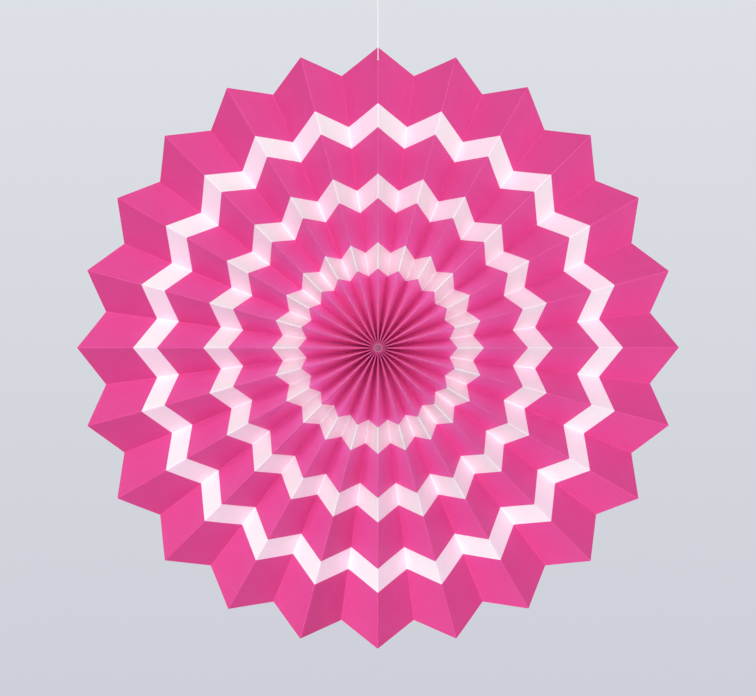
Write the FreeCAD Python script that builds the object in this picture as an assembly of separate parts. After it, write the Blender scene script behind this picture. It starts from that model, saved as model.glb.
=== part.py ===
"""Hanging paper fan rosette: a pleated paper ring, the set glue that holds its core, and the thread it hangs by.

Millimetres. X is to the right, Z is up and the front faces -Y. The origin is the rosette's centre.
An azimuth is measured about Y from the top, turning towards +X.
"""

import FreeCAD, Part
import math
import os

from FreeCAD import Vector

# Driving sizes of the paper
TIP_DIAMETER = 400.0
PLEATS = 24
TOOTH_DEPTH = 15.6
RIM_RISE = 18.4
PAPER = 0.2
FOLD_GAP = 0.05
PANEL_GAP = 0.11
STATIONS = 11
STATION_CROWDING = 1.7

# Driving sizes of the glued lap that closes the strip into a ring
LAP_PANEL = 25
LAP_INSET = 1.5
LAP_FREE_RADIUS = 20.0

# Driving sizes of the set glue that fills the core
GLUE_CLEARANCE = 0.15
GLUE_LENGTH = 18.0
GLUE_SETBACK = 12.0
GLUE_EDGE = 1.2

# Driving sizes of the thread that the rosette hangs by
HANG_THREAD = 0.6
HANG_HOLE_CLEARANCE = 0.5
HANG_HOLE_INSET = 8.0
HANG_CLEARANCE = 0.35
HANG_TURN_RADIUS = 0.9
HANG_KNOT = 2.2
HANG_KNOT_LENGTH = 2.4
HANG_RISE = 50.0
STRAND_GAP = 0.1
LOOP_HEIGHT = 22.0
LOOP_RADIUS = 5.0
LOOP_SHOULDER_RADIUS = 12.0

# Worked out from the driving sizes
TIP_RADIUS = TIP_DIAMETER / 2
NOTCH_RADIUS = TIP_RADIUS - TOOTH_DEPTH
PANEL_ANGLE = math.pi / PLEATS
CORE_RADIUS = PLEATS * (PAPER + PANEL_GAP) / math.pi
FOLD_HALF = (PAPER + FOLD_GAP) / 2
HANG_HOLE_RADIUS = TIP_RADIUS - HANG_HOLE_INSET
STRAND_OFFSET = (HANG_THREAD + STRAND_GAP) / 2
KNOT_NECK = STRAND_OFFSET + HANG_THREAD / 2 + STRAND_GAP


def chord(radius):
    """The straight distance between neighbouring fold lines, seen from the front."""
    return 2 * radius * math.sin(PANEL_ANGLE / 2)


# The strip keeps its panel width all the way, so the folds bow towards each other as the ring widens.
PANEL_WIDTH = math.hypot(chord(TIP_RADIUS), RIM_RISE)


def half_rise(radius):
    """How far a fold line stands in front of or behind the middle plane."""
    return math.sqrt(PANEL_WIDTH**2 - chord(radius) ** 2) / 2


def place(radius, azimuth, along, depth):
    """A point at a radius and depth, set off sideways from an azimuth by a small distance."""
    across = Vector(math.sin(azimuth), 0, math.cos(azimuth)) * radius
    side = Vector(math.cos(azimuth), 0, -math.sin(azimuth)) * along
    return across + side + Vector(0, depth, 0)


def fold_radius(fold, station):
    """The radius of a station along a mountain fold (even) or a valley fold (odd).

    The stations crowd towards the core, where the panels twist fastest.
    """
    end = TIP_RADIUS if fold % 2 == 0 else NOTCH_RADIUS
    return CORE_RADIUS + (end - CORE_RADIUS) * (station / STATIONS) ** STATION_CROWDING


def fold_corners(fold, side, station):
    """The paper's front and back corners beside a fold, on its side towards -1 or +1."""
    radius = fold_radius(fold, station)
    rise = half_rise(radius)
    lean = max(chord(radius) - 2 * FOLD_HALF, 0.0)
    mitre = PAPER / 2 * math.tan(math.atan2(2 * rise, lean) / 2)
    towards_front = 1 if fold % 2 == 0 else -1
    azimuth = fold * PANEL_ANGLE
    outer = place(radius, azimuth, side * (FOLD_HALF + mitre), -towards_front * (rise + PAPER / 2))
    inner = place(radius, azimuth, side * (FOLD_HALF - mitre), -towards_front * (rise - PAPER / 2))
    return (outer, inner) if towards_front == 1 else (inner, outer)


def panel_rows(panel):
    """The section of a panel at each station: its front points and its back points, across the panel.

    The lap panel has a second layer on its back, which thins out to nothing where the core is bunched.
    """
    edge = LAP_INSET / PANEL_WIDTH
    rows = []
    for station in range(STATIONS + 1):
        layer = PAPER if fold_radius(panel, station) > LAP_FREE_RADIUS else 0
        laps = [(0, 0), (1, 0)]
        if panel == LAP_PANEL:
            laps = [(0, 0), (edge, 0), (edge, layer), (1 - edge, layer), (1 - edge, 0), (1, 0)]
        start_front, start_back = fold_corners(panel, 1, station)
        end_front, end_back = fold_corners(panel + 1, -1, station)
        outward = (start_back - start_front + end_back - end_front).normalize()
        front = [start_front + (end_front - start_front) * share for share, _ in laps]
        back = [start_back + (end_back - start_back) * share + outward * lift for share, lift in laps]
        rows.append((front, back))
    return rows


def triangle(a, b, c):
    """A flat face, or nothing where two of its corners meet."""
    if min((a - b).Length, (b - c).Length, (c - a).Length) < 1e-6:
        return []
    return [Part.Face(Part.makePolygon([a, b, c, a]))]


def twisted_patch(a, b, c, d, split_at_a):
    """A four-cornered patch as two flat faces, which meet along the diagonal from a to c or from b to d."""
    if split_at_a:
        return triangle(a, b, c) + triangle(a, c, d)
    return triangle(a, b, d) + triangle(b, c, d)


def flat_patch(a, b, c, d):
    """A flat four-cornered face."""
    return [Part.Face(Part.makePolygon([a, b, c, d, a]))]


def panel_faces(panel):
    """The front, back and two cut ends of one panel, each patch split outwards from its mountain fold."""
    rows = panel_rows(panel)
    starts_at_mountain = panel % 2 == 0
    faces = []
    columns = range(len(rows[0][0]) - 1)
    for row, next_row in zip(rows, rows[1:]):
        for layer in (0, 1):
            here, beyond = row[layer], next_row[layer]
            for i in columns:
                faces += twisted_patch(here[i], here[i + 1], beyond[i + 1], beyond[i], starts_at_mountain)
    for front, back in (rows[0], rows[-1]):
        for i in columns:
            faces += twisted_patch(front[i], front[i + 1], back[i + 1], back[i], True)
    return faces


def crease_faces(fold):
    """The narrow lands in front of and behind a fold, and their two cut ends."""
    rows = [(fold_corners(fold, -1, s), fold_corners(fold, 1, s)) for s in range(STATIONS + 1)]
    faces = []
    for (left, right), (next_left, next_right) in zip(rows, rows[1:]):
        for layer in (0, 1):
            faces += flat_patch(left[layer], right[layer], next_right[layer], next_left[layer])
    for left, right in (rows[0], rows[-1]):
        faces += flat_patch(left[0], right[0], right[1], left[1])
    return faces


def pleated_strip():
    """The closed ring of panels and creases as one solid of folded paper."""
    faces = []
    for fold in range(2 * PLEATS):
        faces += panel_faces(fold)
        faces += crease_faces(fold)
    shell = Part.makeShell(faces)
    shell.sewShape()
    solid = Part.makeSolid(shell)
    if solid.Volume < 0:
        solid.reverse()
    return solid


def rod(start, end, diameter):
    """A round rod between two points."""
    return Part.makeCylinder(diameter / 2, (end - start).Length, start, end - start)


def pleated_fan():
    """The paper with its hanging hole near the top tip."""
    start = Vector(0, -PANEL_WIDTH, HANG_HOLE_RADIUS)
    end = start + Vector(0, PANEL_WIDTH, 0)
    hole = rod(start, end, HANG_THREAD + 2 * HANG_HOLE_CLEARANCE)
    return pleated_strip().cut(hole)


def core_glue():
    """The plug of set glue in the core, behind the mouth of the folds' inner ends."""
    front = -half_rise(CORE_RADIUS) + GLUE_SETBACK
    radius = CORE_RADIUS * math.cos(PANEL_ANGLE / 2) - GLUE_CLEARANCE
    plug = Part.makeCylinder(radius, GLUE_LENGTH, Vector(0, front, 0), Vector(0, 1, 0))
    rims = [edge for edge in plug.Edges if edge.isClosed()]
    return plug.makeChamfer(min(GLUE_EDGE, 0.8 * radius), rims)


def barrel_knot(middle, axis):
    """A barrel-shaped knot whose two flat ends are each wide enough for two strands."""
    half_length = HANG_KNOT_LENGTH / 2
    profile = [(0, -half_length), (KNOT_NECK, -half_length), (HANG_KNOT / 2, -half_length / 3)]
    profile += [(radius, -along) for radius, along in reversed(profile)]
    outline = [middle + Vector(radius, 0, 0) + axis * along for radius, along in profile]
    return Part.Face(Part.makePolygon(outline + outline[:1])).revolve(middle, axis, 360)


def rounded_path(points, radii):
    """Straight runs through the points, joined by arcs of the given radii at the inner points."""
    edges = []
    start = points[0]
    for before, corner, after, radius in zip(points, points[1:], points[2:], radii):
        inward = (before - corner).normalize()
        onward = (after - corner).normalize()
        half_turn = (math.pi - inward.getAngle(onward)) / 2
        reach = radius * math.tan(half_turn)
        first = corner + inward * reach
        last = corner + onward * reach
        bisector = (inward + onward).normalize()
        middle = corner + bisector * (radius / math.cos(half_turn) - radius)
        edges.append(Part.LineSegment(start, first).toShape())
        edges.append(Part.Arc(first, middle, last).toShape())
        start = last
    edges.append(Part.LineSegment(start, points[-1]).toShape())
    return Part.Wire(edges)


def tube(points, radii, diameter):
    """A round tube along a path of straight runs and tangent arcs."""
    path = rounded_path(points, radii)
    disc = Part.Face(Part.Wire(Part.makeCircle(diameter / 2, points[0], points[1] - points[0])))
    swept = path.makePipe(disc)
    expected = path.Length * math.pi * diameter**2 / 4
    print(f"tube length {path.Length:.1f} mm, radii {radii}, volume over expected {swept.Volume / expected:.4f}")
    return swept


def top_loop(foot):
    """The loop at the thread's end, which goes over a hook or a nail."""
    top = LOOP_HEIGHT - HANG_KNOT_LENGTH / 2
    shoulder = top - 2 * LOOP_RADIUS
    crown = 0.9 * LOOP_RADIUS
    half_outline = [(STRAND_OFFSET, 0), (LOOP_RADIUS, shoulder), (LOOP_RADIUS, top)]
    outline = half_outline + [(-x, z) for x, z in reversed(half_outline)]
    sunk = Vector(0, 0, -HANG_THREAD)
    points = [foot + Vector(x, 0, z) for x, z in outline]
    points[0] += sunk
    points[-1] += sunk
    return tube(points, [LOOP_SHOULDER_RADIUS, crown, crown, LOOP_SHOULDER_RADIUS], HANG_THREAD)


def hanging_thread():
    """The thread from its knot behind the top pleat, out through the paper and up to the loop at its end."""
    crest_y = -half_rise(HANG_HOLE_RADIUS)
    away = PAPER / 2 + HANG_CLEARANCE
    seat = KNOT_NECK * 2 * half_rise(HANG_HOLE_RADIUS) / chord(HANG_HOLE_RADIUS)
    back = Vector(0, crest_y + away + seat, HANG_HOLE_RADIUS)
    corner = Vector(0, crest_y - away - HANG_THREAD / 2, HANG_HOLE_RADIUS)
    foot = Vector(0, corner.y, TIP_RADIUS + HANG_RISE)
    half_knot = HANG_KNOT_LENGTH / 2
    stopper = barrel_knot(back + Vector(0, half_knot, 0), Vector(0, 1, 0))
    loop_knot = barrel_knot(foot + Vector(0, 0, half_knot), Vector(0, 0, 1))
    strand = tube([back, corner, foot], [HANG_TURN_RADIUS], HANG_THREAD)
    return stopper.fuse([strand, loop_knot, top_loop(foot + Vector(0, 0, 2 * half_knot))])


def main():
    os.makedirs("parts", exist_ok=True)
    made = {
        "pleated_fan": pleated_fan(),
        "core_glue": core_glue(),
        "hanging_thread": hanging_thread(),
    }
    for name, shape in made.items():
        print(name, "solids", len(shape.Solids), "faces", len(shape.Faces), "valid", shape.isValid(), "volume", round(shape.Volume, 1))
        shape.exportStep(f"parts/{name}.step")


main()
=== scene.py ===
"""Looks of a hanging paper fan rosette: its printed and folded paper, its glue and its thread.

Metres, in the part's own frame: X to the right, Z up, the printed front towards -Y.
An azimuth is measured about Y from the top, turning towards +X.
"""

import math
import random

import bmesh
import bpy
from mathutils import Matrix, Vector, noise


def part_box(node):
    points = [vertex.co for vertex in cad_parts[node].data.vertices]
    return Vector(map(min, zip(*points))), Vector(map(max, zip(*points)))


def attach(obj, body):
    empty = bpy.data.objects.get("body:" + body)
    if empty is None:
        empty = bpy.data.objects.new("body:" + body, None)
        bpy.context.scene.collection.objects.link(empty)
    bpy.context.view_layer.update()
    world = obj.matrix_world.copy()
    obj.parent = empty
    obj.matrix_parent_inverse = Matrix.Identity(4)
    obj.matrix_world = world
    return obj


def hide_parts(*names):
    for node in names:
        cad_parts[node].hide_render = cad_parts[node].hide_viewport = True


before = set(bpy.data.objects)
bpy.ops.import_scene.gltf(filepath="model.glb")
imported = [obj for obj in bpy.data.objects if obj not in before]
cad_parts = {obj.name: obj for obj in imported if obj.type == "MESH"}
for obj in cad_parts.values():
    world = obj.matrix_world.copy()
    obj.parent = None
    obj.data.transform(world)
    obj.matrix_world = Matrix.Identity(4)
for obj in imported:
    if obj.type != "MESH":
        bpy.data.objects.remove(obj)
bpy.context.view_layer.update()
MM = 0.001

# The pleats. The pointed edge is cut in by the tooth depth, and the folds are the rim's rise deep
# there. The gaps are the air inside a closed fold and between the panels bunched at the core.
PLEATS = 24
PANELS = 2 * PLEATS
TIP_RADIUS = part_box("pleated_fan")[1].x
TOOTH_DEPTH = 15.6 * MM
RIM_RISE = 18.4 * MM
PAPER = 0.2 * MM
FOLD_GAP = 0.05 * MM
PANEL_GAP = 0.11 * MM

# The glued lap: a second layer on the back of one panel, which thins out towards the core
LAP_PANEL = 25
LAP_INSET = 1.5 * MM
LAP_THIN_RADIUS = 13 * MM
LAP_FREE_RADIUS = 20 * MM

# The printed rings, as shares of a fold's length from the core
RINGS = [(0.2543, 0.3423), (0.4908, 0.5732), (0.7299, 0.8103)]

# The paper's mesh: rows along the folds, which crowd towards the core and keep some room from the
# rings' edges, and columns across a panel, with a support beside each fold. Points within the merge
# distance, where the lap's step has no height, become one.
STATIONS = 64
STATION_CROWDING = 1.3
RING_EDGE_ROOM = 0.3
CREASE_SUPPORT = 0.012
ACROSS = [0, CREASE_SUPPORT, 0.25, 0.5, 0.75, 1 - CREASE_SUPPORT, 1]
MERGE_DISTANCE = 0.0001 * MM

# How far the folds of a hand-opened fan stray, more and more from the core outwards
STRAY_SEED = 7
AZIMUTH_STRAY = math.radians(0.16)
RISE_STRAY = 0.5 * MM
STRAY_GROWTH = 1.5

# The bow and the finer cockle of each panel. They set in over a range of shares of its length,
# and the other numbers place them in their noises.
SLACK_RANGE = (0.08, 0.6)
BOW = 0.55 * MM
BOW_BY_PANEL = 7.31
BOW_ALONG = 2.2
BOW_LEVEL = 0.5
COCKLE = 0.12 * MM
COCKLE_ALONG = 22
COCKLE_ACROSS = 1.7
COCKLE_BY_PANEL = 3.1

# The punched hole in the top fold. Cutting it leaves edges shorter than a sliver, which are closed.
HOLE_CLEARANCE = 0.5 * MM
HOLE_INSET = 8 * MM
HOLE_SIDES = 40
PUNCH_LENGTH = 8 * MM
SLIVER = 0.004 * MM

# The thread: three twisted plies, and its way from the stopper knot to the top of its loop
THREAD = 0.6 * MM
PLIES = 3
PLY_RADIUS = THREAD * 0.27
PLY_SIDES = 8
PLY_STEP = THREAD * 0.4
TWIST_LENGTH = THREAD * 3.6
CLEARANCE = 0.35 * MM
STRAND_GAP = 0.1 * MM
STRAIGHT_REACH = 6 * THREAD
RISE_OF_LOOP = 50 * MM
LOOP_HEIGHT = 22 * MM
LOOP_RADIUS = 5 * MM
ROUTE_ORDER = 3
ROUTE_STEPS = 24
SHORTEST_SPAN = 1e-12

# The barrel knots: their outer size, their turns, slimmer by a share at the ends, and the cut end
KNOT = 2.2 * MM
KNOT_LENGTH = 2.4 * MM
KNOT_PITCH = THREAD * 0.98
KNOT_STEPS = 20
KNOT_TAPER = 0.16
CUT_END_REACH = 1.6 * MM
CUT_END_LIFT = 0.7 * MM
CUT_END_STEPS = 4
KNOT_CORE_STEPS = 6
ROD_SIDES = 12

# The plug of glue: its mesh, where its ends round off, how far they sink, and how uneven it is
GLUE_AROUND = 48
GLUE_ALONG = 26
GLUE_ROUNDING = (-0.02, 0.07)
GLUE_SINK = 0.9 * MM
GLUE_DIP = 0.5 * MM
GLUE_WOBBLE = 0.05
GLUE_WOBBLE_ALONG = 4

# Floor, light and camera. A lamp has its place, size and watts. The backdrop's shade runs over
# its reach of the view's slope, and the folds need many bounces to be lit down to the core.
FLOOR_DROP = 0.42
FLOOR_RADIUS = 1.0
FLOOR_THICKNESS = 0.01
FLOOR_SIDES = 192
AMBIENT = 0.58
LAMPS = {
    "key": ((-0.9, -2.5, 1.1), 1.6, 28),
    "front_fill": ((0.3, -2.8, 0.0), 1.4, 32),
    "back_fill": ((0.9, 2.2, 1.2), 1.6, 35),
}
DIFFUSE_BOUNCES = 12
BACKDROP_REACH = 0.14
LENS = 135
SENSOR = 36
FRAME_ASPECT = 696 / 756
SHARE_OF_HEIGHT = 0.86

# Worked out from the values above
NOTCH_RADIUS = TIP_RADIUS - TOOTH_DEPTH
PANEL_ANGLE = math.pi / PLEATS
CORE_RADIUS = PLEATS * (PAPER + PANEL_GAP) / math.pi
FOLD_HALF = (PAPER + FOLD_GAP) / 2
HOLE_AT_RADIUS = TIP_RADIUS - HOLE_INSET
PLY_LAY = THREAD / 2 - PLY_RADIUS
STRAND_OFFSET = (THREAD + STRAND_GAP) / 2
KNOT_NECK = STRAND_OFFSET + THREAD / 2 + STRAND_GAP


def srgb(*shown):
    """A colour given as a screen shows it, from 0 to 255, as Blender's linear values."""
    shares = [value / 255 for value in shown]
    linear = [s / 12.92 if s <= 0.04045 else ((s + 0.055) / 1.055) ** 2.4 for s in shares]
    return (*linear, 1.0)


# The inks by their distance from the axis, as shares of the tip radius. The pink is painted paler
# towards the core, and so is the white's shaded copy: painted light against the shade that the
# folds cast on each other there, where a plain ink would look far too dark. Each colour has a lit
# copy and a copy darkened as painted shade for every other panel, as if one side of each fold faced
# the light.
PINK_PAINTED_LIT = [
    (0.05, srgb(254, 158, 219)),
    (0.25, srgb(248, 131, 205)),
    (0.5, srgb(231, 94, 168)),
    (1.0, srgb(209, 71, 140)),
]
# The pink's darker copy: painted shade of the folds, for every other panel
PINK_PAINTED_SHADE = [
    (0.05, srgb(252, 155, 216)),
    (0.25, srgb(238, 124, 196)),
    (0.5, srgb(213, 86, 156)),
    (1.0, srgb(192, 63, 129)),
]
FOLD_PINK = [(0.1, srgb(226, 96, 158)), (1.0, srgb(222, 92, 158))]
WHITE_PAINTED_LIT = [(0.3, srgb(255, 255, 255)), (1.0, srgb(251, 246, 250))]
# The white's darker copy: painted shade of the folds, for every other panel
WHITE_PAINTED_SHADE = [(0.3, srgb(250, 241, 246)), (0.5, srgb(243, 225, 237)), (1.0, srgb(238, 217, 230))]
CUT_EDGE = [(0.0, srgb(244, 205, 224)), (1.0, srgb(244, 205, 224))]

# Plain colours
PURE_WHITE = (1, 1, 1, 1)
THREAD_WHITE = srgb(244, 242, 238)
# The glue's milky colour, with the pink light that the paper round it throws on it painted in
GLUE_MILK_AND_PAINTED_BOUNCE = srgb(233, 150, 190)
FLOOR_TINT = srgb(214, 215, 223)
BACKDROP_HIGH = srgb(222, 225, 231)
BACKDROP_LOW = srgb(205, 206, 216)

# How uneven the colours are. The print's spreads are for red, green and blue: pink ink hardly
# touches red.
PINK_SPREAD = (0.01, 0.1, 0.05)
WHITE_SPREAD = (0.02, 0.02, 0.02)
WORN_SPREAD = (0.05, 0.3, 0.15)
FIBRE_SPREAD = (0.01, 0.05, 0.03)
THREAD_SPREAD = 0.06
GLUE_SPREAD = 0.08
FLOOR_SPREAD = 0.01

# Noises in the object's own coordinates, by their sockets, and the range of values that is used.
# A scale of 1000 gives features of about a millimetre.
FIBRE_NOISE = {"Scale": 2400, "Detail": 5, "Roughness": 0.72}
COCKLE_NOISE = {"Scale": 130, "Detail": 2, "Roughness": 0.55}
CLOUD_NOISE = {"Scale": 60, "Detail": 10, "Roughness": 0.8}
FUZZ_NOISE = {"Scale": 9000, "Detail": 3, "Roughness": 0.7}
GLUE_NOISE = {"Scale": 900, "Detail": 3, "Roughness": 0.55}
FLOOR_NOISE = {"Scale": 30, "Detail": 3, "Roughness": 0.55}
NOISE_RANGE = (0.3, 0.7)

# How high the bumps stand
COCKLE_HEIGHT = 0.3 * MM
FIBRE_HEIGHT = 0.05 * MM
FUZZ_HEIGHT = 0.02 * MM
GLUE_HEIGHT = 0.05 * MM

# Values on the shaders' own sockets
PAPER_LOOK = {
    "Specular IOR Level": 0.28,
    "Subsurface Weight": 0.5,
    "Subsurface Radius": (1.0, 0.7, 0.85),
    "Subsurface Scale": 1 * MM,
}
THREAD_LOOK = {"Roughness": 0.85, "Sheen Weight": 0.3}
GLUE_LOOK = {"Roughness": 0.38}
FLOOR_LOOK = {"Roughness": 0.9}

# The paper's materials, in the order of its material slots: name, ink, roughness and spread.
# The inks carry painted light towards the core, and the slots after the pink and the white hold
# their copies darkened as painted shade, for every other panel.
PAPER_MATERIALS = [
    ("paper_pink_painted_lit", PINK_PAINTED_LIT, 0.62, PINK_SPREAD),
    ("paper_pink_painted_shade", PINK_PAINTED_SHADE, 0.62, PINK_SPREAD),
    ("paper_white_painted_lit", WHITE_PAINTED_LIT, 0.7, WHITE_SPREAD),
    ("paper_white_painted_shade", WHITE_PAINTED_SHADE, 0.7, WHITE_SPREAD),
    ("fold_worn", FOLD_PINK, 0.75, WORN_SPREAD),
    ("cut_edge", CUT_EDGE, 0.8, WHITE_SPREAD),
]
PINK, WHITE, WORN_FOLD, CUT = 0, 2, 4, 5


# ---- Materials ----


def new_material(name, look):
    """A material with the given values on its shader's sockets."""
    material = bpy.data.materials.new(name)
    material.use_nodes = True
    shader = material.node_tree.nodes["Principled BSDF"]
    for socket, value in look.items():
        shader.inputs[socket].default_value = value
    return material, material.node_tree, shader


def noise_node(tree, settings):
    """One of the noises listed above."""
    where = tree.nodes.new("ShaderNodeTexCoord")
    node = tree.nodes.new("ShaderNodeTexNoise")
    for socket, value in settings.items():
        node.inputs[socket].default_value = value
    tree.links.new(where.outputs["Object"], node.inputs["Vector"])
    return node


def noise_ramp(tree, source, low_colour, high_colour):
    """A colour between two others, as a noise goes from low to high."""
    ramp = tree.nodes.new("ShaderNodeValToRGB")
    low, high = ramp.color_ramp.elements
    low.position, high.position = NOISE_RANGE
    low.color, high.color = low_colour, high_colour
    tree.links.new(source.outputs["Fac"], ramp.inputs["Fac"])
    return ramp.outputs["Color"]


def mottled(tree, colour, source, spread):
    """The colour, a little lighter and darker by a noise."""
    darker = tuple(c * (1 - spread) for c in colour[:3]) + (1,)
    lighter = tuple(min(1, c * (1 + spread)) for c in colour[:3]) + (1,)
    return noise_ramp(tree, source, darker, lighter)


def unevenness(tree, source, spreads):
    """A factor for each of red, green and blue, from 1 down by as much as twice its spread."""
    lowest = tuple(1 - 2 * spread for spread in spreads) + (1,)
    return noise_ramp(tree, source, lowest, PURE_WHITE)


def by_distance(tree, stops):
    """A colour that changes with the distance from the rosette's axis."""
    where = tree.nodes.new("ShaderNodeTexCoord")
    across = tree.nodes.new("ShaderNodeVectorMath")
    across.operation = "MULTIPLY"
    across.inputs[1].default_value = (1 / TIP_RADIUS, 0, 1 / TIP_RADIUS)
    distance = tree.nodes.new("ShaderNodeVectorMath")
    distance.operation = "LENGTH"
    ramp = tree.nodes.new("ShaderNodeValToRGB")
    elements = ramp.color_ramp.elements
    while len(elements) < len(stops):
        elements.new(0.5)  # anywhere inside, until its stop places it
    for element, (share, colour) in zip(elements, stops):
        element.position = share
        element.color = colour
    tree.links.new(where.outputs["Object"], across.inputs[0])
    tree.links.new(across.outputs["Vector"], distance.inputs[0])
    tree.links.new(distance.outputs["Value"], ramp.inputs["Fac"])
    return ramp.outputs["Color"]


def multiplied(tree, first, second):
    """The product of two colours."""
    product = tree.nodes.new("ShaderNodeMix")
    product.data_type = "RGBA"
    product.blend_type = "MULTIPLY"
    product.inputs["Factor"].default_value = 1.0
    colours = [socket for socket in product.inputs if socket.type == "RGBA"]
    tree.links.new(first, colours[0])
    tree.links.new(second, colours[1])
    return next(socket for socket in product.outputs if socket.type == "RGBA")


def bumped(tree, shader, layers):
    """Bumps from several noises, each with its height in metres."""
    normal = None
    for source, height in layers:
        bump = tree.nodes.new("ShaderNodeBump")
        bump.inputs["Strength"].default_value = 1.0
        bump.inputs["Distance"].default_value = height
        tree.links.new(source.outputs["Fac"], bump.inputs["Height"])
        if normal:
            tree.links.new(normal, bump.inputs["Normal"])
        normal = bump.outputs["Normal"]
    tree.links.new(normal, shader.inputs["Normal"])


def paper_material(name, inks_and_painted_light, roughness, spreads):
    """Uncoated printed paper that lets some light through, with fibres, cockle, uneven ink, and
    painted light and shade in its tones.
    """
    material, tree, shader = new_material(name, {**PAPER_LOOK, "Roughness": roughness})
    fibres = noise_node(tree, FIBRE_NOISE)
    cockle = noise_node(tree, COCKLE_NOISE)
    clouds = noise_node(tree, CLOUD_NOISE)
    # The ink's stops hold painted light towards the core, and painted shade in the darker copies
    ink_and_painted_light = multiplied(tree, by_distance(tree, inks_and_painted_light), unevenness(tree, clouds, spreads))
    grained = multiplied(tree, ink_and_painted_light, unevenness(tree, fibres, FIBRE_SPREAD))
    tree.links.new(grained, shader.inputs["Base Color"])
    bumped(tree, shader, [(cockle, COCKLE_HEIGHT), (fibres, FIBRE_HEIGHT)])
    return material


def thread_material():
    """Matte spun cotton with a soft sheen."""
    material, tree, shader = new_material("spun_cotton", THREAD_LOOK)
    fuzz = noise_node(tree, FUZZ_NOISE)
    colour = mottled(tree, THREAD_WHITE, fuzz, THREAD_SPREAD)
    tree.links.new(colour, shader.inputs["Base Color"])
    bumped(tree, shader, [(fuzz, FUZZ_HEIGHT)])
    return material


def glue_material():
    """Set glue, milky, with the pink light that the paper round it throws on it painted into its
    colour.
    """
    material, tree, shader = new_material("set_glue", GLUE_LOOK)
    cloud = noise_node(tree, GLUE_NOISE)
    tree.links.new(mottled(tree, GLUE_MILK_AND_PAINTED_BOUNCE, cloud, GLUE_SPREAD), shader.inputs["Base Color"])
    bumped(tree, shader, [(cloud, GLUE_HEIGHT)])
    return material


def floor_material():
    """A matte, nearly even floor."""
    material, tree, shader = new_material("pale_floor", FLOOR_LOOK)
    grain = noise_node(tree, FLOOR_NOISE)
    tree.links.new(mottled(tree, FLOOR_TINT, grain, FLOOR_SPREAD), shader.inputs["Base Color"])
    return material


# ---- Shared by the pieces ----


def add_object(name, data):
    """A new object in the scene."""
    made = bpy.data.objects.new(name, data)
    bpy.context.scene.collection.objects.link(made)
    return made


def worked_out_mesh(source):
    """A new mesh of an object's final shape, with its modifiers or its curve worked out."""
    depsgraph = bpy.context.evaluated_depsgraph_get()
    return bpy.data.meshes.new_from_object(source.evaluated_get(depsgraph))


def smooth(value, low, high):
    """0 below low, 1 above high, and a smooth rise between."""
    share = min(max((value - low) / (high - low), 0), 1)
    return share * share * (3 - 2 * share)


# ---- The folded paper ----


def chord(radius):
    """How far apart neighbouring folds are at a radius."""
    return 2 * radius * math.sin(PANEL_ANGLE / 2)


# A panel keeps its full width of paper from the core to the rim
PANEL_WIDTH = math.hypot(chord(TIP_RADIUS), RIM_RISE)


def half_rise(radius):
    """How far the folds stand in front of the middle plane, or behind it, at a radius."""
    return math.sqrt(PANEL_WIDTH**2 - chord(radius) ** 2) / 2


def place(radius, azimuth, along, depth):
    """A point at a radius and depth, set off sideways from an azimuth by a small distance."""
    across = Vector((math.sin(azimuth), 0, math.cos(azimuth))) * radius
    side = Vector((math.cos(azimuth), 0, -math.sin(azimuth))) * along
    return across + side + Vector((0, depth, 0))


def uneven_folds():
    """How far each fold strays from its even place, by azimuth and by depth.

    The top fold, which holds the thread, doesn't stray.
    """
    rng = random.Random(STRAY_SEED)
    strays = []
    for fold in range(PANELS):
        freedom = 0 if fold == 0 else 1
        azimuth = rng.uniform(-1, 1) * AZIMUTH_STRAY * freedom
        rise = rng.uniform(-1, 1) * RISE_STRAY * freedom
        strays.append((azimuth, rise))
    return strays


FOLD_STRAYS = uneven_folds()


def fold_corners(fold, side, share):
    """The paper's front and back corners beside a fold, at a share of its length from the core."""
    fold = fold % PANELS
    mountain = fold % 2 == 0
    stray_azimuth, stray_rise = FOLD_STRAYS[fold]
    loosened = share**STRAY_GROWTH
    end = TIP_RADIUS if mountain else NOTCH_RADIUS
    radius = CORE_RADIUS + (end - CORE_RADIUS) * share
    rise = half_rise(radius) + stray_rise * loosened
    lean = chord(radius) - 2 * FOLD_HALF
    mitre = PAPER / 2 * math.tan(math.atan2(2 * rise, lean) / 2)
    to_front = 1 if mountain else -1
    azimuth = fold * PANEL_ANGLE + stray_azimuth * loosened
    outer = place(radius, azimuth, side * (FOLD_HALF + mitre), -to_front * (rise + PAPER / 2))
    inner = place(radius, azimuth, side * (FOLD_HALF - mitre), -to_front * (rise - PAPER / 2))
    return (outer, inner) if mountain else (inner, outer)


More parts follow.
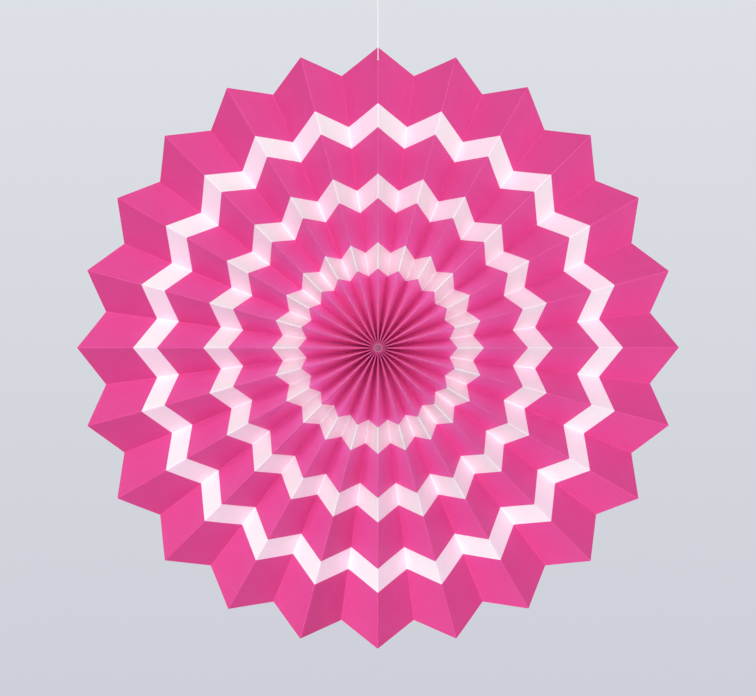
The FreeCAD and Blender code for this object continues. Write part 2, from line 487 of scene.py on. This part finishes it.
def panel_points(panel, share):
    """Front and back points across a panel, with its slight bow and cockle.

    The lap's panel has a second layer on its back, with two columns at each edge of the step.
    """
    start_front, start_back = fold_corners(panel, 1, share)
    end_front, end_back = fold_corners(panel + 1, -1, share)
    outward = (start_back - start_front + end_back - end_front).normalized()
    loosened = smooth(share, *SLACK_RANGE)
    centre = (start_front + end_front) / 2
    swell = noise.noise(Vector((panel * BOW_BY_PANEL, share * BOW_ALONG, BOW_LEVEL)))
    radius = (start_front.xz.length + end_front.xz.length) / 2
    layer = PAPER * smooth(radius, LAP_THIN_RADIUS, LAP_FREE_RADIUS)
    edge = LAP_INSET / PANEL_WIDTH
    lap_across = [0, edge, edge, 0.5, 1 - edge, 1 - edge, 1]
    lap_lift = [0, 0, layer, layer, layer, 0, 0]
    front, back = [], []
    for column, across in enumerate(ACROSS):
        spot = centre * COCKLE_ALONG + Vector((across * COCKLE_ACROSS, panel * COCKLE_BY_PANEL, 0))
        bow = BOW * swell * math.sin(math.pi * across)
        cockle = COCKLE * noise.noise(spot) * 4 * across * (1 - across)
        push = outward * loosened * (bow + cockle)
        front.append(start_front.lerp(end_front, across) + push)
        if panel == LAP_PANEL:
            foot = start_back.lerp(end_back, lap_across[column])
            back.append(foot + push + outward * lap_lift[column])
        else:
            back.append(start_back.lerp(end_back, across) + push)
    return front, back


def station_shares():
    """Shares of a fold's length for the rows, with one at each edge of a printed ring."""
    even = [(i / STATIONS) ** STATION_CROWDING for i in range(STATIONS + 1)]
    edges = [edge for ring in RINGS for edge in ring]
    kept = [s for s in even if all(abs(s - e) > RING_EDGE_ROOM / STATIONS for e in edges)]
    return sorted(kept + edges)


def tone_of(panel, share, on_fold):
    """A face's material slot: its panel's white or pink, with painted shade on every other panel,
    or the worn pink of a fold.
    """
    # Every other panel takes the next slot: the same colour darkened as painted shade
    if any(low < share < high for low, high in RINGS):
        return WHITE + panel % 2
    return WORN_FOLD if on_fold else PINK + panel % 2


def add_face(mesh, corners, slot):
    made = mesh.faces.new(corners)
    made.material_index = slot
    made.smooth = True


def borders_cut_edge(edge):
    """Whether an edge parts the faces of the paper's cut edge from its printed sides."""
    slots = {face.material_index for face in edge.link_faces}
    return CUT in slots and len(slots) > 1


def make_paper():
    """The pleated ring as one closed sheet of real thickness, its print and its painted shade laid
    out face by face.
    """
    shares = station_shares()
    mesh = bmesh.new()
    rows = []
    for share in shares:
        front_row, back_row = [], []
        for panel in range(PANELS):
            front, back = panel_points(panel, share)
            front_row += [mesh.verts.new(p) for p in front]
            back_row += [mesh.verts.new(p) for p in back]
        rows.append((front_row, back_row))
    per_panel = len(ACROSS)
    columns = PANELS * per_panel
    for k in range(len(rows) - 1):
        (front, back), (next_front, next_back) = rows[k], rows[k + 1]
        middle = (shares[k] + shares[k + 1]) / 2
        for i in range(columns):
            j = (i + 1) % columns
            panel, column = divmod(i, per_panel)
            tone = tone_of(panel, middle, column == per_panel - 1)
            add_face(mesh, [front[i], front[j], next_front[j], next_front[i]], tone)
            add_face(mesh, [back[i], next_back[i], next_back[j], back[j]], tone)
    for (front, back), flip in ((rows[0], False), (rows[-1], True)):
        for i in range(columns):
            j = (i + 1) % columns
            corners = [front[i], back[i], back[j], front[j]]
            add_face(mesh, corners[::-1] if flip else corners, CUT)
    bmesh.ops.remove_doubles(mesh, verts=mesh.verts, dist=MERGE_DISTANCE)
    bmesh.ops.recalc_face_normals(mesh, faces=mesh.faces)
    for edge in mesh.edges:
        if borders_cut_edge(edge):
            edge.smooth = False
    data = bpy.data.meshes.new("folded_paper")
    mesh.to_mesh(data)
    mesh.free()
    for settings in PAPER_MATERIALS:
        data.materials.append(paper_material(*settings))
    return add_object("folded_paper", data)


def cut_hanging_hole(paper):
    """The round hole through the top fold, where the thread passes."""
    bpy.ops.mesh.primitive_cylinder_add(
        vertices=HOLE_SIDES,
        radius=THREAD / 2 + HOLE_CLEARANCE,
        depth=PUNCH_LENGTH,
        location=(0, -half_rise(HOLE_AT_RADIUS), HOLE_AT_RADIUS),
        rotation=(math.pi / 2, 0, 0),
    )
    punch = bpy.context.object
    cut = paper.modifiers.new("hole", "BOOLEAN")
    cut.operation = "DIFFERENCE"
    cut.solver = "EXACT"
    cut.object = punch
    cut_mesh = worked_out_mesh(paper)
    mesh = bmesh.new()
    mesh.from_mesh(cut_mesh)
    bmesh.ops.dissolve_degenerate(mesh, dist=SLIVER, edges=mesh.edges)
    many_sided = [face for face in mesh.faces if len(face.verts) > 4]
    bmesh.ops.triangulate(mesh, faces=many_sided, ngon_method="BEAUTY")
    mesh.to_mesh(cut_mesh)
    mesh.free()
    paper.modifiers.clear()
    paper.data = cut_mesh
    bpy.data.objects.remove(punch)


# ---- Thread, knots and glue ----


def spline_points(name, route):
    """Points along the smooth line that a spline draws through a route."""
    curve = bpy.data.curves.new(name, "CURVE")
    curve.dimensions = "3D"
    spline = curve.splines.new("NURBS")
    spline.points.add(len(route) - 1)
    for point, stop in zip(spline.points, route):
        point.co = (*stop, 1)
    spline.order_u = ROUTE_ORDER
    spline.use_endpoint_u = True
    spline.resolution_u = ROUTE_STEPS
    holder = add_object(name, curve)
    line = [vertex.co.copy() for vertex in worked_out_mesh(holder).vertices]
    bpy.data.objects.remove(holder)
    return line


def evenly_spaced(line, step):
    """The same line with its points about a step apart."""
    lengths = [0.0]
    for a, b in zip(line, line[1:]):
        lengths.append(lengths[-1] + (b - a).length)
    count = round(lengths[-1] / step)
    points, i = [], 0
    for k in range(count + 1):
        target = lengths[-1] * k / count
        while i < len(lengths) - 2 and lengths[i + 1] < target:
            i += 1
        span = max(lengths[i + 1] - lengths[i], SHORTEST_SPAN)
        points.append(line[i].lerp(line[i + 1], (target - lengths[i]) / span))
    return points


def straight(start, end, steps):
    """Points along a straight line, with both its ends."""
    return [start.lerp(end, s / steps) for s in range(steps + 1)]


def turned(first, second, angle):
    """The direction at an angle from the first of two square directions towards the second."""
    return first * math.cos(angle) + second * math.sin(angle)


def add_tube(mesh, line, radius, sides, offset=None):
    """A closed tube of faces along a line, or along one that the offset moves sideways."""
    rings = []
    normal = None
    for k, point in enumerate(line):
        tangent = (line[min(k + 1, len(line) - 1)] - line[max(k - 1, 0)]).normalized()
        if normal is None:
            normal = tangent.orthogonal().normalized()
        normal = (normal - tangent * normal.dot(tangent)).normalized()
        other = tangent.cross(normal)
        centre = point + (offset(k, normal, other) if offset else Vector())
        ring = []
        for s in range(sides):
            around = turned(normal, other, 2 * math.pi * s / sides)
            ring.append(mesh.verts.new(centre + around * radius))
        rings.append(ring)
    for ring, next_ring in zip(rings, rings[1:]):
        for s in range(sides):
            t = (s + 1) % sides
            mesh.faces.new([ring[s], ring[t], next_ring[t], next_ring[s]])
    mesh.faces.new(rings[0][::-1])
    mesh.faces.new(rings[-1])


def mesh_piece(name, mesh, material):
    """A smoothly shaded piece of one material."""
    bmesh.ops.recalc_face_normals(mesh, faces=mesh.faces)
    for made in mesh.faces:
        made.smooth = True
    data = bpy.data.meshes.new(name)
    mesh.to_mesh(data)
    mesh.free()
    data.materials.append(material)
    return add_object(name, data)


def ply_offset(phase):
    """How a ply that starts at a phase winds about the thread's line."""
    turn = 2 * math.pi * PLY_STEP / TWIST_LENGTH

    def offset(k, normal, other):
        return turned(normal, other, k * turn + phase) * PLY_LAY

    return offset


def twisted_thread(name, line, material):
    """Plies laid round a line, as in a spun thread."""
    points = evenly_spaced(line, PLY_STEP)
    mesh = bmesh.new()
    for ply in range(PLIES):
        add_tube(mesh, points, PLY_RADIUS, PLY_SIDES, ply_offset(2 * math.pi * ply / PLIES))
    return mesh_piece(name, mesh, material)


def barrel_knot(name, middle, axis, material):
    """A barrel knot: the thread wound in close turns, with its short cut end standing out."""
    side = axis.orthogonal().normalized()
    other = axis.cross(side)
    radius = (KNOT - THREAD) / 2
    turns = (KNOT_LENGTH - THREAD) / KNOT_PITCH
    count = round(turns * KNOT_STEPS)
    line = []
    for k in range(count + 1):
        share = k / count
        taper = 1 - KNOT_TAPER * (2 * share - 1) ** 2
        height = (share - 0.5) * (KNOT_LENGTH - THREAD)
        around = turned(side, other, 2 * math.pi * turns * share)
        line.append(middle + around * radius * taper + axis * height)
    last = line[-1]
    cut_end = last + (last - line[-2]).normalized() * CUT_END_REACH + axis * CUT_END_LIFT
    foot = middle - axis * KNOT_LENGTH / 2
    head = middle + axis * KNOT_LENGTH / 2
    mesh = bmesh.new()
    add_tube(mesh, line, THREAD / 2, ROD_SIDES)
    add_tube(mesh, straight(last, cut_end, CUT_END_STEPS), THREAD / 2, ROD_SIDES)
    add_tube(mesh, straight(foot, head, KNOT_CORE_STEPS), THREAD / 2, ROD_SIDES)
    return mesh_piece(name, mesh, material)


def make_glue(material):
    """A plug of set glue with a sunk, uneven meniscus at each end."""
    low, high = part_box("core_glue")
    radius = high.x
    length = high.y - low.y
    mesh = bmesh.new()
    rings = []
    for j in range(1, GLUE_ALONG):
        share = j / GLUE_ALONG
        reach = radius * smooth(min(share, 1 - share), *GLUE_ROUNDING) ** 0.5
        inward = 1 if share < 0.5 else -1
        depth = low.y + length * share + GLUE_SINK * (1 - smooth(reach, 0, radius)) * inward
        ring = []
        for i in range(GLUE_AROUND):
            angle = 2 * math.pi * i / GLUE_AROUND
            spot = Vector((math.cos(angle), math.sin(angle), share * GLUE_WOBBLE_ALONG))
            wobble = 1 - GLUE_WOBBLE * abs(noise.noise(spot))
            x = math.sin(angle) * reach * wobble
            z = math.cos(angle) * reach * wobble
            ring.append(mesh.verts.new((x, depth, z)))
        rings.append(ring)
    for ring, next_ring in zip(rings, rings[1:]):
        for i in range(GLUE_AROUND):
            k = (i + 1) % GLUE_AROUND
            mesh.faces.new([ring[i], ring[k], next_ring[k], next_ring[i]])
    for ring, dip in ((rings[0], GLUE_DIP), (rings[-1], -GLUE_DIP)):
        centre = sum((v.co for v in ring), Vector()) / GLUE_AROUND
        pole = mesh.verts.new(centre + Vector((0, dip, 0)))
        for i in range(GLUE_AROUND):
            mesh.faces.new([ring[i], ring[(i + 1) % GLUE_AROUND], pole])
    return mesh_piece("glue_plug", mesh, material)


def make_thread(material):
    """The thread out through the paper and up, its loop, and the two knots."""
    backward, upward = Vector((0, 1, 0)), Vector((0, 0, 1))
    crest = -half_rise(HOLE_AT_RADIUS)
    away = PAPER / 2 + CLEARANCE
    # The stopper knot's end lies as far back as it needs between the sloping panels
    seat = KNOT_NECK * 2 * half_rise(HOLE_AT_RADIUS) / chord(HOLE_AT_RADIUS)
    back = Vector((0, crest + away + seat, HOLE_AT_RADIUS))
    corner = Vector((0, crest - away - THREAD / 2, HOLE_AT_RADIUS))
    foot = Vector((0, corner.y, TIP_RADIUS + RISE_OF_LOOP))
    above = upward * STRAIGHT_REACH
    half_knot = KNOT_LENGTH / 2
    route = [back, corner, corner + above, (corner + foot) / 2, foot - above, foot]
    line = spline_points("strand_route", route)
    strand = twisted_thread("thread_strand", line, material)
    stopper = barrel_knot("stopper_knot", back + backward * half_knot, backward, material)
    loop_knot = barrel_knot("loop_knot", foot + upward * half_knot, upward, material)

    loop_foot = foot + upward * KNOT_LENGTH
    top = LOOP_HEIGHT - half_knot
    right = [(STRAND_OFFSET, -THREAD), (LOOP_RADIUS, top - 2 * LOOP_RADIUS), (LOOP_RADIUS, top)]
    left = [(-x, z) for x, z in reversed(right)]
    loop_route = [loop_foot + Vector((x, 0, z)) for x, z in right + left]
    loop_line = spline_points("loop_route", loop_route)
    loop = twisted_thread("thread_loop", loop_line, material)
    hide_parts("hanging_thread")
    for piece in (strand, stopper, loop_knot, loop):
        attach(piece, "root")
    evenly_spaced(line, THREAD)
    evenly_spaced(loop_line, THREAD)


# ---- Stage, lights and camera ----


def make_floor():
    """A pale floor below the hanging object."""
    bpy.ops.mesh.primitive_cylinder_add(
        vertices=FLOOR_SIDES,
        radius=FLOOR_RADIUS,
        depth=FLOOR_THICKNESS,
        location=(0, 0, -FLOOR_DROP - FLOOR_THICKNESS / 2),
    )
    floor = bpy.context.object
    floor.name = "floor"
    floor.data.materials.append(floor_material())


def make_world():
    """Soft light from all round, and a pale backdrop that only the camera, gloss and glass see."""
    world = bpy.data.worlds.new("studio")
    bpy.context.scene.world = world
    world.use_nodes = True
    nodes, links = world.node_tree.nodes, world.node_tree.links
    nodes.clear()
    output = nodes.new("ShaderNodeOutputWorld")
    mix = nodes.new("ShaderNodeMixShader")
    ambient = nodes.new("ShaderNodeBackground")
    ambient.inputs["Color"].default_value = PURE_WHITE
    ambient.inputs["Strength"].default_value = AMBIENT
    backdrop = nodes.new("ShaderNodeBackground")
    backdrop.inputs["Strength"].default_value = 1.0
    where = nodes.new("ShaderNodeTexCoord")
    split = nodes.new("ShaderNodeSeparateXYZ")
    spread = nodes.new("ShaderNodeMapRange")
    spread.inputs["From Min"].default_value = -BACKDROP_REACH
    spread.inputs["From Max"].default_value = BACKDROP_REACH
    ramp = nodes.new("ShaderNodeValToRGB")
    ramp.color_ramp.elements[0].color = BACKDROP_LOW
    ramp.color_ramp.elements[1].color = BACKDROP_HIGH
    links.new(where.outputs["Generated"], split.inputs["Vector"])
    links.new(split.outputs["Z"], spread.inputs["Value"])
    links.new(spread.outputs["Result"], ramp.inputs["Fac"])
    links.new(ramp.outputs["Color"], backdrop.inputs["Color"])
    path = nodes.new("ShaderNodeLightPath")
    sees_backdrop = path.outputs["Is Camera Ray"]
    for ray in ("Is Glossy Ray", "Is Transmission Ray"):
        either = nodes.new("ShaderNodeMath")
        either.operation = "MAXIMUM"
        links.new(sees_backdrop, either.inputs[0])
        links.new(path.outputs[ray], either.inputs[1])
        sees_backdrop = either.outputs["Value"]
    links.new(sees_backdrop, mix.inputs["Fac"])
    links.new(ambient.outputs["Background"], mix.inputs[1])
    links.new(backdrop.outputs["Background"], mix.inputs[2])
    links.new(mix.outputs["Shader"], output.inputs["Surface"])


def make_lights():
    """Three broad round lamps aimed at the part's centre.

    The key is at the upper left in front, with a fill near the camera and one behind the part.
    """
    for name, (location, size, watts) in LAMPS.items():
        light = bpy.data.lights.new(name, "AREA")
        light.shape = "DISK"
        light.size = size
        light.energy = watts
        lamp = add_object(name, light)
        lamp.location = location
        aim = Vector((0, 0, 0)) - Vector(location)
        lamp.rotation_euler = aim.to_track_quat("-Z", "Y").to_euler()


def make_camera():
    """Straight on from far away, so that the rosette fills most of the frame's height."""
    camera = bpy.data.cameras.new("camera")
    camera.lens = LENS
    camera.sensor_width = SENSOR
    frame_height = 2 * TIP_RADIUS / SHARE_OF_HEIGHT
    distance = frame_height / FRAME_ASPECT * LENS / SENSOR
    holder = add_object("camera", camera)
    holder.location = (0, -distance, 0)
    holder.rotation_euler = (math.pi / 2, 0, 0)
    bpy.context.scene.camera = holder


bpy.context.scene.view_settings.view_transform = "Standard"
bpy.context.scene.cycles.diffuse_bounces = DIFFUSE_BOUNCES
paper = make_paper()
cut_hanging_hole(paper)
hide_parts("pleated_fan")
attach(paper, "root")
glue = make_glue(glue_material())
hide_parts("core_glue")
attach(glue, "root")
make_thread(thread_material())
make_floor()
make_world()
make_lights()
make_camera()
